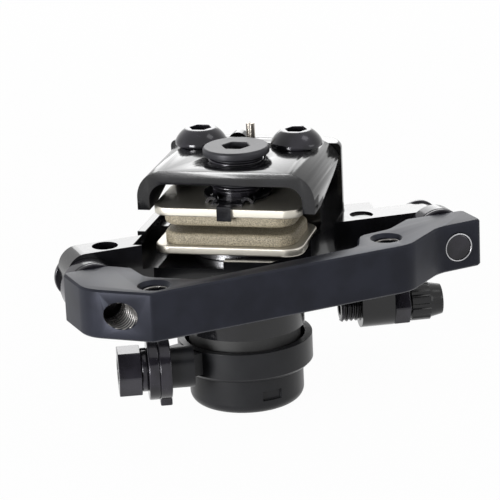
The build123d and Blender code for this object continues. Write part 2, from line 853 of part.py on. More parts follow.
with BuildPart() as lifting_ramp:
    with BuildSketch(Plane.XY.offset(lifter_bottom)):
        Circle(ramp_radius)
        Rectangle(2 * (bore_radius + key_depth - side_clearance), key_width - side_clearance)
    extrude(amount=piston_bottom - lifter_bottom)
    for angle in ball_angles:
        with BuildLine() as groove:
            ThreePointArc(
                ball_point(angle),
                ball_point(angle - ramp_turn / 2, pad_lift / 2),
                ball_point(angle - ramp_turn, pad_lift),
            )
        with BuildSketch(Plane(origin=groove.line @ 0, z_dir=groove.line % 0)):
            Circle(ball_radius + running_fit)
        sweep(path=groove.line, mode=Mode.SUBTRACT)
        with Locations(ball_point(angle), ball_point(angle - ramp_turn, pad_lift)):
            Sphere(ball_radius + running_fit, mode=Mode.SUBTRACT)
save(lifting_ramp.part, "lifting_ramp")

spindle_square_top = arm_bottom + arm_floor
with BuildPart() as turning_ramp:
    with BuildSketch(Plane.XY.offset(ramp_top - ramp_flange_thickness)):
        Circle(ramp_radius)
    extrude(amount=ramp_flange_thickness)
    with BuildSketch(Plane.XZ):
        with Locations((ball_circle, ball_height)):
            Circle(ball_radius + running_fit)
    revolve(axis=Axis.Z, mode=Mode.SUBTRACT)
    with BuildSketch(Plane.XY.offset(spindle_square_top)):
        Circle(spindle_radius)
    extrude(amount=ramp_top - ramp_flange_thickness - spindle_square_top)
    with BuildSketch(Plane.XY.offset(arm_bottom)):
        Circle(spindle_radius)
        Rectangle(spindle_flats, spindle_flats, mode=Mode.INTERSECT)
    extrude(amount=arm_floor)
    with BuildSketch(Plane.XY.offset(arm_bottom)):
        Circle(spindle_thread_radius)
    extrude(amount=spindle_thread_depth, mode=Mode.SUBTRACT)
save(turning_ramp.part, "turning_ramp")

with BuildPart() as ramp_balls:
    with Locations([ball_point(angle) for angle in ball_angles]):
        Sphere(ball_radius)
save(ramp_balls.part, "ramp_balls")

with BuildPart() as ball_cage:
    with BuildSketch(Plane.XY.offset((ramp_top + lifter_bottom - cage_thickness) / 2)):
        Circle(ball_circle + cage_width / 2)
        Circle(ball_circle - cage_width / 2, mode=Mode.SUBTRACT)
        with Locations([ball_point(angle)[:2] for angle in ball_angles]):
            Circle(ball_radius + running_fit, mode=Mode.SUBTRACT)
            Circle(ball_radius + ring_wire_radius)
            Circle(ball_radius + running_fit, mode=Mode.SUBTRACT)
    extrude(amount=cage_thickness)
save(ball_cage.part, "ball_cage")


def ring(bottom, height, outer, inner, name):
    """Plain ring about the actuator's axis."""
    with BuildPart() as piece:
        with BuildSketch(Plane.XY.offset(bottom)):
            Circle(outer)
            Circle(inner, mode=Mode.SUBTRACT)
        extrude(amount=height)
    save(piece.part, name)


ring(
    bore_bottom, thrust_thickness - running_fit, ramp_radius, spindle_radius + side_clearance, "thrust_washer"
)
ring(neck_bottom, bore_bottom - neck_bottom, bush_radius, spindle_radius + running_fit, "spindle_bush")
ring(neck_bottom - seal_depth, seal_depth, seal_radius, seal_radius - seal_wall, "dust_seal")
ring(
    arm_bottom - screw_washer_thickness,
    screw_washer_thickness,
    screw_washer_radius,
    spindle_thread_radius + side_clearance,
    "arm_screw_washer",
)

# Actuator arm: an open cup under the neck with a lug for the cable clamp
with BuildPart() as actuator_arm:
    with BuildSketch(Plane.XY.offset(arm_bottom)):
        Circle(arm_radius)
    extrude(amount=arm_top - arm_bottom)
    chamfer(actuator_arm.edges().group_by(Axis.Z)[0], length=arm_rim_round)
    with BuildSketch(facing_plane(lug_start, clamp_out, clamp_direction, clamp_height)):
        Circle(lug_radius)
    extrude(amount=lug_face - lug_start)
    with BuildSketch(facing_plane(lug_web_start, 0, arm_direction, clamp_height)):
        Rectangle(lug_web_width, lug_web_height)
    extrude(amount=lug_web_end - lug_web_start)
    with BuildSketch(Plane.XY.offset(arm_bottom + arm_floor)):
        Circle(arm_radius - arm_wall)
    extrude(amount=arm_top - arm_bottom, mode=Mode.SUBTRACT)
    with BuildSketch(Plane.XY.offset(arm_bottom)):
        Circle(spindle_radius + running_fit)
        Rectangle(spindle_flats + running_fit, spindle_flats + running_fit, mode=Mode.INTERSECT)
    extrude(amount=arm_floor, mode=Mode.SUBTRACT)
    with BuildSketch(facing_plane(lug_face, clamp_out, clamp_direction, clamp_height)):
        Circle(clamp_bolt_radius)
    extrude(amount=lug_start - lug_face, mode=Mode.SUBTRACT)
save(actuator_arm.part, "actuator_arm")

# Screw that draws the arm onto the spindle
with BuildPart() as arm_screw:
    screw_seat = arm_bottom - screw_washer_thickness
    with BuildSketch(Plane.XY.offset(screw_seat - screw_head_height)):
        RegularPolygon(radius=screw_head_radius, side_count=6)
    extrude(amount=screw_head_height)
    with BuildSketch(Plane.XY.offset(screw_seat)):
        Circle(spindle_thread_radius)
    extrude(amount=screw_thread_length)
save(arm_screw.part, "arm_screw")

# Cap that snaps under the arm
with BuildPart() as end_cap:
    with BuildSketch(Plane.XY.offset(cap_bottom)):
        Circle(cap_radius)
    extrude(amount=arm_bottom - cap_bottom)
    fillet(end_cap.edges().group_by(Axis.Z)[0], radius=cap_corner)
    with BuildSketch(Plane.XY.offset(cap_bottom + cap_wall)):
        Circle(cap_radius - cap_wall)
    extrude(amount=arm_bottom - cap_bottom, mode=Mode.SUBTRACT)
    latch_height = (arm_bottom + cap_bottom) / 2
    with BuildSketch(facing_plane(cap_radius - cap_latch_depth, 0, cap_latch_direction, latch_height)):
        Rectangle(cap_latch_width, cap_latch_height)
    extrude(amount=overrun, mode=Mode.SUBTRACT)
save(end_cap.part, "end_cap")

# Return spring: one wire coiled round the spindle, with a short straight run at each end
spring_steps = spring_turns * 4


def spring_point(quarter):
    """Point of the spring's centre line, counted in quarter turns from its top."""
    angle = radians(90 * quarter)
    return (
        spring_mean_radius * cos(angle),
        spring_mean_radius * sin(angle),
        spring_top - spring_pitch * quarter / 4,
    )


with BuildPart() as return_spring:
    with BuildLine() as spring_path:
        for step in range(spring_steps):
            ThreePointArc(spring_point(step), spring_point(step + 1 / 2), spring_point(step + 1))
    with BuildSketch(Plane(origin=spring_path.line @ 0, z_dir=spring_path.line % 0)):
        Circle(spring_wire / 2)
    sweep(path=spring_path.line)
save(return_spring.part, "return_spring")
spring_samples = 200
spring_samples_apart = 50
spring_quarters = 4 * spring_turns
spring_points = [
    Vector(*spring_point(spring_quarters * index / spring_samples)) for index in range(spring_samples + 1)
]
spring_gap = min(
    (first - second).length - spring_wire
    for index, first in enumerate(spring_points)
    for second in spring_points[index + spring_samples_apart :]
)
print("spring least gap", round(spring_gap, 2))

# Cable clamp: plate with a turned-down ear, washers and hex bolt, all on the lug's axis
plate_outer = lug_face + clamp_plate_thickness
washer_outer = plate_outer + clamp_washer_thickness
spring_outer = washer_outer + spring_washer_thickness

with BuildPart() as clamp_plate:
    with BuildSketch(facing_plane(lug_face, clamp_out, clamp_direction, clamp_height)):
        Circle(clamp_washer_radius)
        with Locations((0, -clamp_leg_length / 2)):
            Rectangle(clamp_leg_width, clamp_leg_length)
        Circle(clamp_bolt_radius + running_fit, mode=Mode.SUBTRACT)
    extrude(amount=clamp_plate_thickness)
save(clamp_plate.part, "clamp_plate")

with BuildPart() as clamp_washer:
    with BuildSketch(facing_plane(plate_outer, clamp_out, clamp_direction, clamp_height)):
        Circle(clamp_washer_radius)
        Circle(clamp_bolt_radius + running_fit, mode=Mode.SUBTRACT)
    extrude(amount=clamp_washer_thickness)
save(clamp_washer.part, "clamp_washer")

with BuildPart() as clamp_spring_washer:
    with BuildSketch(facing_plane(washer_outer, clamp_out, clamp_direction, clamp_height)):
        Circle(spring_washer_radius)
        Circle(clamp_bolt_radius + running_fit, mode=Mode.SUBTRACT)
        with Locations((0, spring_washer_radius)):
            Rectangle(spring_washer_split, 2 * spring_washer_radius, mode=Mode.SUBTRACT)
    extrude(amount=spring_washer_thickness)
save(clamp_spring_washer.part, "clamp_spring_washer")

with BuildPart() as clamp_bolt:
    with BuildSketch(facing_plane(spring_outer, clamp_out, clamp_direction, clamp_height)):
        RegularPolygon(radius=clamp_head_flats / 2, side_count=6, major_radius=False)
    extrude(amount=clamp_head_height)
    with BuildSketch(facing_plane(spring_outer, clamp_out, clamp_direction, clamp_height)):
        Circle(clamp_bolt_radius)
    extrude(amount=-clamp_bolt_length)
    clamp_head_face = spring_outer + clamp_head_height
    with BuildSketch(facing_plane(clamp_head_face, clamp_out, clamp_direction, clamp_height)):
        Circle(clamp_recess_radius)
    extrude(amount=-clamp_recess_depth, mode=Mode.SUBTRACT)
save(clamp_bolt.part, "clamp_bolt")

# Barrel adjuster and locknut on the body's lug
boss_end = barrel_boss_start + barrel_boss_length
knob_start = boss_end + running_fit + locknut_thickness + knob_gap
knob_end = knob_start + barrel_knob_length
barrel_inner_end = barrel_boss_start - barrel_inner_length

with BuildPart() as barrel_adjuster:
    with BuildSketch(facing_plane(barrel_inner_end, barrel_out, barrel_turn, barrel_height)):
        Circle(barrel_thread_radius)
    extrude(amount=knob_start - barrel_boss_start + barrel_inner_length)
    with BuildSketch(facing_plane(knob_start, barrel_out, barrel_turn, barrel_height)):
        Circle(barrel_knob_radius)
        with PolarLocations(barrel_knob_radius + flute_radius / 2, flute_count):
            Circle(flute_radius, mode=Mode.SUBTRACT)
    extrude(amount=barrel_knob_length - barrel_cone_length)
    with BuildSketch(facing_plane(knob_end - barrel_cone_length, barrel_out, barrel_turn, barrel_height)):
        Circle(barrel_knob_radius - flute_radius / 2)
    with BuildSketch(facing_plane(knob_end, barrel_out, barrel_turn, barrel_height)):
        Circle(barrel_cone_radius)
    loft()
    with BuildSketch(facing_plane(barrel_inner_end, barrel_out, barrel_turn, barrel_height)):
        Circle(barrel_bore)
    extrude(amount=knob_end - barrel_boss_start + barrel_inner_length, mode=Mode.SUBTRACT)
    with BuildSketch(facing_plane(knob_end, barrel_out, barrel_turn, barrel_height)):
        Circle(housing_bore)
    extrude(amount=-housing_bore_depth, mode=Mode.SUBTRACT)
save(barrel_adjuster.part, "barrel_adjuster")

with BuildPart() as barrel_locknut:
    with BuildSketch(facing_plane(boss_end + running_fit, barrel_out, barrel_turn, barrel_height)):
        RegularPolygon(radius=locknut_flats / 2, side_count=6, major_radius=False)
        Circle(barrel_thread_radius + running_fit, mode=Mode.SUBTRACT)
    extrude(amount=locknut_thickness)
save(barrel_locknut.part, "barrel_locknut")
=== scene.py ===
import logging
from dataclasses import dataclass, field
from enum import Enum
from math import cos, pi, radians, sin
from typing import Any

import bmesh
import bpy
from mathutils import Matrix, Vector


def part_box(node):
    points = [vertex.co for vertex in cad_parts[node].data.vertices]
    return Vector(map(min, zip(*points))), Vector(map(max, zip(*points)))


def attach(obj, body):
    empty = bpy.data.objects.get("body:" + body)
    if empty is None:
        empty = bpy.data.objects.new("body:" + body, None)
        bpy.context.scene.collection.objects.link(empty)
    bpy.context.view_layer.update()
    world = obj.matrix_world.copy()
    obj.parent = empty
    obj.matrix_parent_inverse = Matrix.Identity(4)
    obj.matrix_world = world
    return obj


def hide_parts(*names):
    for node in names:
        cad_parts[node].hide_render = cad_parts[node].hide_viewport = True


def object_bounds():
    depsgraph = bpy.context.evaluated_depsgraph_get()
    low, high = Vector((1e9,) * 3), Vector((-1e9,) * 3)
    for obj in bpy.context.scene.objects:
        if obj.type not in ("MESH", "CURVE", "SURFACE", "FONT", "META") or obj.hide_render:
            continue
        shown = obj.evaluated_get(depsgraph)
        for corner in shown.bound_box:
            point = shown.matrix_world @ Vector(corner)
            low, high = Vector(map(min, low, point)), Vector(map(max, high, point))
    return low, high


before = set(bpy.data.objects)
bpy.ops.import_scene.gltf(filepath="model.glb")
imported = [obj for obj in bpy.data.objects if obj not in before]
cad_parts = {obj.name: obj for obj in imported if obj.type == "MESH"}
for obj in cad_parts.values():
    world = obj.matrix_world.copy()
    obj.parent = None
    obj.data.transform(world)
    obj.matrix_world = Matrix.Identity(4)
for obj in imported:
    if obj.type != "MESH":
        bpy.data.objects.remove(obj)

log = logging.getLogger("caliper")
MM = 0.001
cad_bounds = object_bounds()

# The photograph's view, as its camera was fitted to the bracket's holes
VIEW_TURN = radians(14.28)
VIEW_RISE = radians(17.66)
VIEW_ROLL = radians(-2.68)
VIEW_OFFSET_MM = Vector((-2.185, 6.90, -508.6))
VIEW_FOCAL_PX = 2526.93
PHOTO_SIZE_PX = 500
SENSOR_WIDTH_MM = 36.0

# Directions that the CAD's pieces are turned to, about Z
MOUNT_TURN = radians(34.3)
BRACKET_TURN = radians(41.0)
BARREL_TURN = radians(22.8)

# How a CAD mesh is cleaned before its edges are rounded: corners closer than MERGE_MM are joined, faces that
# meet within FLAT_ANGLE become one, and edges past SHARP_EDGE are rounded. FACE_WEIGHT favours large faces in
# shading.
MERGE_MM = 0.002
FLAT_ANGLE = radians(0.4)
SHARP_EDGE = radians(32.0)
FACE_WEIGHT = 60

# How near to a shank's radius a corner lies on it
ON_SHANK_MM = 0.02

# A noise's middle value
NOISE_MIDDLE = 0.5

# Parts of a noise's range that are stretched over a whole mask: a finish's two colours, the bright flecks in
# sintered metal, where an edge begins and ends, and how far the edges' painted highlight and wear break up
COLOUR_SPAN = (0.3, 0.7)
FLECK_SPAN = (0.58, 0.66)
EDGE_SPAN = (0.52, 0.62)
BROKEN_SPAN = (0.25, 0.6)

# Shares in mixed patterns, and sizes of the sintered patterns over the finish's grain
GRIT_IN_SHADE = 0.55
CELLS_IN_RELIEF = 0.6
STREAKS_IN_RELIEF = 0.5
STREAKS_IN_SHADE = 0.6
GRIT_OVER_GRAIN = 2.2
FLECK_OVER_GRAIN = 1.3
STREAK_SQUEEZE = 0.12

# The caliper bolts' axes, measured along and out from the hub on the turned mount
BOLT_AXES_MM = {"left": -33.8, "right": 40.4}
BOLT_HEIGHT_MM = -8.1
BOLT_TIP_OUT_MM = -17.3
BOLT_RADIUS_MM = 3.0

Colour = tuple[float, float, float]


class Signal:
    """One value in a shader, so that shader maths reads as Python."""

    def __init__(self, sheet: "ShaderSheet", socket: bpy.types.NodeSocket) -> None:
        """Wraps an output socket of a sheet."""
        self.sheet = sheet
        self.socket = socket

    def _maths(self, operation: str, first: Any, second: Any) -> "Signal":
        """Adds one Math node.

        Args:
            operation: The Math node's operation.
            first: A signal or number.
            second: A signal or number.

        Returns:
            The node's result.
        """
        return self.sheet.signal("ShaderNodeMath", {"operation": operation}, {0: first, 1: second})

    def __add__(self, other: Any) -> "Signal":
        """Sum of two values."""
        return self._maths("ADD", self, other)

    def __radd__(self, other: Any) -> "Signal":
        """Sum with a number on the left."""
        return self._maths("ADD", other, self)

    def __sub__(self, other: Any) -> "Signal":
        """Difference of two values."""
        return self._maths("SUBTRACT", self, other)

    def __rsub__(self, other: Any) -> "Signal":
        """Difference with a number on the left."""
        return self._maths("SUBTRACT", other, self)

    def __mul__(self, other: Any) -> "Signal":
        """Product of two values."""
        return self._maths("MULTIPLY", self, other)

    def __rmul__(self, other: Any) -> "Signal":
        """Product with a number on the left."""
        return self._maths("MULTIPLY", other, self)

    def __truediv__(self, other: Any) -> "Signal":
        """Quotient of two values."""
        return self._maths("DIVIDE", self, other)

    def __rtruediv__(self, other: Any) -> "Signal":
        """Quotient of a number on the left."""
        return self._maths("DIVIDE", other, self)

    def larger(self, other: Any) -> "Signal":
        """Larger of two values."""
        return self._maths("MAXIMUM", self, other)


class ShaderSheet:
    """A node tree with one way to add a node to it."""

    # Numbers of the Mix node's sockets when it mixes colours
    SHARE, FIRST, SECOND, MIXED = 0, 6, 7, 2

    def __init__(self, tree: bpy.types.NodeTree) -> None:
        """Empties a tree and takes it over."""
        tree.nodes.clear()
        self.tree = tree

    def node(self, kind: str, settings: dict[str, Any], inputs: dict[Any, Any]) -> bpy.types.Node:
        """Adds a node.

        Args:
            kind: The node's type.
            settings: Its own settings, set before its sockets.
            inputs: Values, signals or sockets by the input's name or number.

        Returns:
            The new node.
        """
        made = self.tree.nodes.new(kind)
        for name, value in settings.items():
            setattr(made, name, value)
        for name, value in inputs.items():
            if isinstance(value, Signal):
                value = value.socket
            if isinstance(value, bpy.types.NodeSocket):
                self.tree.links.new(value, made.inputs[name])
            else:
                made.inputs[name].default_value = value
        return made

    def signal(self, kind: str, settings: dict[str, Any], inputs: dict[Any, Any], output: Any = 0) -> Signal:
        """Adds a node and returns one of its outputs."""
        return Signal(self, self.node(kind, settings, inputs).outputs[output])

    def noise(self, place: Signal, size_mm: float, detail: float = 3.0) -> Signal:
        """Noise whose features are about a size in millimetres."""
        inputs = {"Vector": place, "Scale": 1.0 / (size_mm * MM), "Detail": detail}
        return self.signal("ShaderNodeTexNoise", {}, inputs, "Fac")

    def blend(self, share: Any, first: Any, second: Any) -> Signal:
        """Mixes two colours."""
        inputs = {self.SHARE: share, self.FIRST: self._colour(first), self.SECOND: self._colour(second)}
        return self.signal("ShaderNodeMix", {"data_type": "RGBA"}, inputs, self.MIXED)

    @staticmethod
    def _colour(value: Any) -> Any:
        """Adds an opaque alpha to a plain colour."""
        return value if isinstance(value, Signal) else (*value, 1.0)


class Grain(Enum):
    """How a finish is broken up close to."""

    SATIN = "fine even grain, as on anodised metal"
    ENAMEL = "smooth paint with a slight orange peel"
    OXIDE = "dark plating with small blotches"
    STAMPED = "rolled sheet with streaks and pits"
    SINTERED = "pressed metal grit"
    MOULDED = "moulded plastic or rubber"
    TURNED = "ground or turned metal"


@dataclass(frozen=True)
class Finish:
    """A surface finish and the node material that shows it."""

    name: str
    grain: Grain
    base: Colour
    accent: Colour
    metallic: float = 0.0
    roughness: float = 0.4
    roughness_spread: float = 0.08
    specular: float = 0.5
    coat: float = 0.0
    coat_roughness: float = 0.08
    grain_mm: float = 0.3
    blotch_mm: float = 6.0
    relief_mm: float = 0.01
    # Share and colour of lighter edges: a painted edge highlight, which also stands for wear
    edge_highlight_and_wear: float = 0.0
    edge_highlight_and_wear_colour: Colour = (0.35, 0.35, 0.36)

    def material(self) -> bpy.types.Material:
        """Returns the finish's material, made at its first use."""
        return bpy.data.materials.get(self.name) or self._build()

    def _build(self) -> bpy.types.Material:
        """Builds the material from the finish's fields.

        Returns:
            The new material.
        """
        made = bpy.data.materials.new(self.name)
        made.use_nodes = True
        sheet = ShaderSheet(made.node_tree)
        place = sheet.signal("ShaderNodeTexCoord", {}, {}, "Object")
        fine = sheet.noise(place, self.grain_mm)
        broad = sheet.noise(place, self.blotch_mm, detail=2.0)
        height = fine
        shade = broad
        metallic: Any = self.metallic
        if self.grain is Grain.SINTERED:
            inputs = {"Vector": place, "Scale": 1.0 / (self.grain_mm * MM)}
            cells = sheet.signal("ShaderNodeTexVoronoi", {"feature": "F1"}, inputs)
            grit = sheet.noise(place, self.grain_mm * GRIT_OVER_GRAIN, detail=6.0)
            flecks = sheet.noise(place, self.grain_mm * FLECK_OVER_GRAIN, detail=1.0)
            shade = grit * GRIT_IN_SHADE + fine * (1.0 - GRIT_IN_SHADE)
            height = grit + cells * CELLS_IN_RELIEF
            metallic = self._steps(sheet, flecks, FLECK_SPAN) * self.metallic
        elif self.grain is Grain.STAMPED:
            streaks = sheet.noise(self._stretched(sheet, place), self.grain_mm, detail=4.0)
            height = streaks * STREAKS_IN_RELIEF + fine * (1.0 - STREAKS_IN_RELIEF)
            shade = streaks * STREAKS_IN_SHADE + broad * (1.0 - STREAKS_IN_SHADE)
        elif self.grain is Grain.TURNED:
            height = sheet.noise(self._stretched(sheet, place), self.grain_mm, detail=2.0)
        colour = sheet.blend(self._steps(sheet, shade, COLOUR_SPAN), self.base, self.accent)
        spread = self.roughness_spread
        roughness = (broad - NOISE_MIDDLE) * spread + (fine - NOISE_MIDDLE) * spread + self.roughness
        # Lighter rounded edges: a painted edge highlight that also stands for wear, broken up by the fine
        # noise
        if self.edge_highlight_and_wear:
            pointed = sheet.signal("ShaderNodeNewGeometry", {}, {}, "Pointiness")
            broken = self._steps(sheet, fine, BROKEN_SPAN)
            highlit_and_worn_edges = self._steps(sheet, pointed, EDGE_SPAN) * broken * self.edge_highlight_and_wear
            colour = sheet.blend(highlit_and_worn_edges, colour, self.edge_highlight_and_wear_colour)
        inputs = {"Strength": 1.0, "Distance": self.relief_mm * MM, "Height": height}
        bump = sheet.signal("ShaderNodeBump", {}, inputs, "Normal")
        shader = sheet.node(
            "ShaderNodeBsdfPrincipled",
            {},
            {
                "Base Color": colour,
                "Roughness": roughness,
                "Metallic": metallic,
                "Normal": bump,
                "Specular IOR Level": self.specular,
                "Coat Weight": self.coat,
                "Coat Roughness": self.coat_roughness,
            },
        )
        sheet.node("ShaderNodeOutputMaterial", {}, {"Surface": shader.outputs[0]})
        return made

    @staticmethod
    def _steps(sheet: ShaderSheet, value: Signal, span: tuple[float, float]) -> Signal:
        """Stretches a span smoothly over the span from 0 to 1."""
        inputs = {"Value": value, "From Min": span[0], "From Max": span[1]}
        return sheet.signal("ShaderNodeMapRange", {"interpolation_type": "SMOOTHSTEP"}, inputs)

    @staticmethod
    def _stretched(sheet: ShaderSheet, place: Signal) -> Signal:
        """Coordinates drawn out along X, for rolling or turning marks."""
        inputs = {"Vector": place, "Scale": Vector((STREAK_SQUEEZE, 1.0, 1.0))}
        return sheet.signal("ShaderNodeMapping", {}, inputs)


# Its lighter edges are a painted highlight along the satin's rounded edges, which also stands for wear
ANODISED = Finish(
    "anodised_bracket", Grain.SATIN, (0.017, 0.018, 0.024), (0.022, 0.0235, 0.032), metallic=0.5,
    roughness=0.42, roughness_spread=0.04, specular=0.12, grain_mm=0.12, relief_mm=0.003, edge_highlight_and_wear=0.3,
    edge_highlight_and_wear_colour=(0.10, 0.11, 0.135),
)
ENAMEL = Finish(
    "gloss_enamel", Grain.ENAMEL, (0.0045, 0.0045, 0.005), (0.007, 0.007, 0.0085), roughness=0.16,
    roughness_spread=0.05, specular=0.33, coat=0.3, grain_mm=0.9, relief_mm=0.006,
)
OXIDE = Finish(
    "black_oxide", Grain.OXIDE, (0.011, 0.0105, 0.013), (0.028, 0.026, 0.034), metallic=0.4, roughness=0.2,
    roughness_spread=0.12, specular=0.3, coat=0.3, grain_mm=0.25, relief_mm=0.003,
)
ADJUSTER_BLACK = Finish(
    "adjuster_black", Grain.OXIDE, (0.022, 0.022, 0.025), (0.04, 0.04, 0.045), metallic=0.3, roughness=0.4,
    specular=0.22, grain_mm=0.2, relief_mm=0.004,
)
PAD_STEEL = Finish(
    "pad_steel", Grain.STAMPED, (0.72, 0.67, 0.625), (0.86, 0.82, 0.78), metallic=0.3, roughness=0.4,
    roughness_spread=0.16, grain_mm=0.35, blotch_mm=3.0, relief_mm=0.02,
)
SINTERED = Finish(
    "sintered_friction", Grain.SINTERED, (0.07, 0.058, 0.036), (0.44, 0.385, 0.28), metallic=0.25,
    roughness=0.6, roughness_spread=0.2, grain_mm=0.11, relief_mm=0.05,
)
BLACK_SPRING = Finish(
    "black_spring_steel", Grain.OXIDE, (0.012, 0.012, 0.014), (0.02, 0.02, 0.024), metallic=0.4,
    roughness=0.15, coat=0.4, grain_mm=0.3, relief_mm=0.003,
)
BRIGHT_PIN = Finish(
    "bright_pin", Grain.TURNED, (0.42, 0.38, 0.33), (0.55, 0.51, 0.46), metallic=0.9, roughness=0.25,
    grain_mm=0.2, relief_mm=0.004,
)
# A duller, darker copy of the gloss enamel: painted shade on the plate's inside, which also stands for
# thinner paint
DULL_AND_SHADED_ENAMEL = Finish(
    "dull_and_shaded_enamel", Grain.ENAMEL, (0.004, 0.004, 0.0045), (0.007, 0.007, 0.008), roughness=0.65,
    specular=0.12, grain_mm=0.5, relief_mm=0.01,
)
RUBBER = Finish(
    "seal_rubber", Grain.MOULDED, (0.012, 0.012, 0.012), (0.02, 0.02, 0.02), roughness=0.6, grain_mm=0.25,
    relief_mm=0.008,
)
MATTE_PLASTIC = Finish(
    "satin_plastic", Grain.MOULDED, (0.007, 0.0072, 0.0085), (0.010, 0.0104, 0.012), roughness=0.34,
    specular=0.26, grain_mm=0.14, relief_mm=0.006,
)
GLOSS_PLASTIC = Finish(
    "gloss_plastic", Grain.MOULDED, (0.006, 0.006, 0.0065), (0.010, 0.010, 0.011), roughness=0.2,
    specular=0.36, grain_mm=0.5, relief_mm=0.003,
)
GROUND_STEEL = Finish(
    "ground_steel", Grain.TURNED, (0.40, 0.40, 0.41), (0.52, 0.52, 0.54), metallic=0.95, roughness=0.26,
    grain_mm=0.15, relief_mm=0.004,
)
CUT_THREAD = Finish(
    "cut_thread", Grain.TURNED, (0.14, 0.135, 0.13), (0.30, 0.29, 0.28), metallic=0.85, roughness=0.28,
    grain_mm=0.2, relief_mm=0.004,
)
BRONZE = Finish(
    "bronze_bush", Grain.TURNED, (0.45, 0.30, 0.13), (0.55, 0.38, 0.18), metallic=0.95, roughness=0.32,
    grain_mm=0.15, relief_mm=0.004,
)


def about(turn: float, along_mm: float, out_mm: float, height_mm: float) -> Matrix:
    """Place whose Z runs along a direction turned about the object's Z.

    Args:
        turn: The direction, in radians from X.
        along_mm: Distance along the direction.
        out_mm: Distance to the direction's left.
        height_mm: Height over the rotor's mid-plane.

    Returns:
        The matrix that carries a piece made on Z there.
    """
    facing = Matrix.Rotation(turn, 4, "Z") @ Matrix.Rotation(pi / 2, 4, "Y")
    spot = Matrix.Rotation(turn, 4, "Z") @ Vector((along_mm * MM, out_mm * MM, 0.0))
    return Matrix.Translation(spot + Vector((0.0, 0.0, height_mm * MM))) @ facing


def make_plain(piece: bpy.types.Object) -> None:
    """Turns a piece's modifiers into its own plain mesh."""
    graph = bpy.context.evaluated_depsgraph_get()
    mesh = bpy.data.meshes.new_from_object(
        piece.evaluated_get(graph), preserve_all_data_layers=True, depsgraph=graph
    )
    piece.modifiers.clear()
    piece.data = mesh


class SubAssembly:
    """What every dressed sub-assembly shares: softened copies of CAD nodes, paint and reports."""

    def settle(self, piece: bpy.types.Object, body: str, slot: str, *nodes: str) -> None:
        """Hides the CAD nodes that a finished piece stands for, hangs the piece on its body and logs it.

        Args:
            piece: The piece, its place in its mesh.
            body: The CAD body that it rides on.
            slot: A material slot's name; not used.
            nodes: CAD nodes that it stands for.
        """
        if nodes:
            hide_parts(*nodes)
        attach(piece, body)
        log.info("%s rides on %s with %d faces", piece.name, body, len(piece.data.polygons))

    def paint(self, finish: Finish, *nodes: str) -> None:
        """Gives CAD nodes a finish as they are.

        Args:
            finish: The finish.
            nodes: The CAD nodes.
        """
        for node in nodes:
            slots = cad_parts[node].data.materials
            slots.clear()
            slots.append(finish.material())
            log.info("%s keeps its CAD mesh", node)

    def soften(
        self, node: str, finish: Finish, edge_mm: float, steps: int = 2, weighted: bool = True
    ) -> bpy.types.Object:
        """Copies a CAD node with its flat faces joined and its edges rounded.

        Args:
            node: The CAD node.
            finish: The copy's finish.
            edge_mm: Width of the rounded edges.
            steps: Faces across a rounded edge.
            weighted: Whether its large faces shade as flat.

        Returns:
            The copy, not hung on its body yet.
        """
        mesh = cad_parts[node].data.copy()
        mesh.name = f"{node}_dressed"
        shape = bmesh.new()
        shape.from_mesh(mesh)
        bmesh.ops.remove_doubles(shape, verts=shape.verts, dist=MERGE_MM * MM)
        bmesh.ops.dissolve_limit(shape, angle_limit=FLAT_ANGLE, verts=shape.verts, edges=shape.edges)
        for face in shape.faces:
            face.smooth = True
        shape.to_mesh(mesh)
        shape.free()
        mesh.materials.clear()
        mesh.materials.append(finish.material())
        piece = bpy.data.objects.new(f"{node}_dressed", mesh)
        bpy.context.scene.collection.objects.link(piece)
        bevel = piece.modifiers.new("edges", "BEVEL")
        bevel.width = edge_mm * MM
        bevel.segments = steps
        bevel.limit_method = "ANGLE"
        bevel.angle_limit = SHARP_EDGE
        bevel.use_clamp_overlap = True
        bevel.harden_normals = not weighted
        bevel.miter_outer = "MITER_ARC"
        if weighted:
            shade = piece.modifiers.new("shade", "WEIGHTED_NORMAL")
            shade.mode = "FACE_AREA"
            shade.weight = FACE_WEIGHT
        return piece

    def dress(self, node: str, finish: Finish, edge_mm: float, body: str, slot: str, steps: int = 2) -> None:
        """Replaces a CAD node by its softened copy."""
        self.settle(self.soften(node, finish, edge_mm, steps), body, slot, node)

    def neck(self, piece: bpy.types.Object, place: Matrix, radius_mm: float, root_mm: float) -> None:
        """Draws a plain shank in to its thread's root, so that the wound crests reach its nominal size.

        Args:
            piece: The piece with the shank.
            place: Where the shank's axis starts and points.
            radius_mm: The shank's radius in the solid.
            root_mm: The radius that it is drawn in to.
        """
        share = root_mm / radius_mm
        for vertex, spot in self.on_shank(piece, place, radius_mm):
            vertex.co = place @ Vector((spot.x * share, spot.y * share, spot.z))

    @staticmethod
    def on_shank(
        piece: bpy.types.Object, place: Matrix, radius_mm: float
    ) -> list[tuple[bpy.types.MeshVertex, Vector]]:
        """Finds the corners that lie at a radius about an axis.

        Args:
            piece: The piece to look in.
            place: Where the axis starts and points.
            radius_mm: The radius.

        Returns:
            Each corner with its place as seen from the axis.
        """
        back = place.inverted()
        seen = [(vertex, back @ vertex.co) for vertex in piece.data.vertices]
        off_mm = [abs(spot.xy.length / MM - radius_mm) for _, spot in seen]
        return [pair for pair, off in zip(seen, off_mm) if off < ON_SHANK_MM]


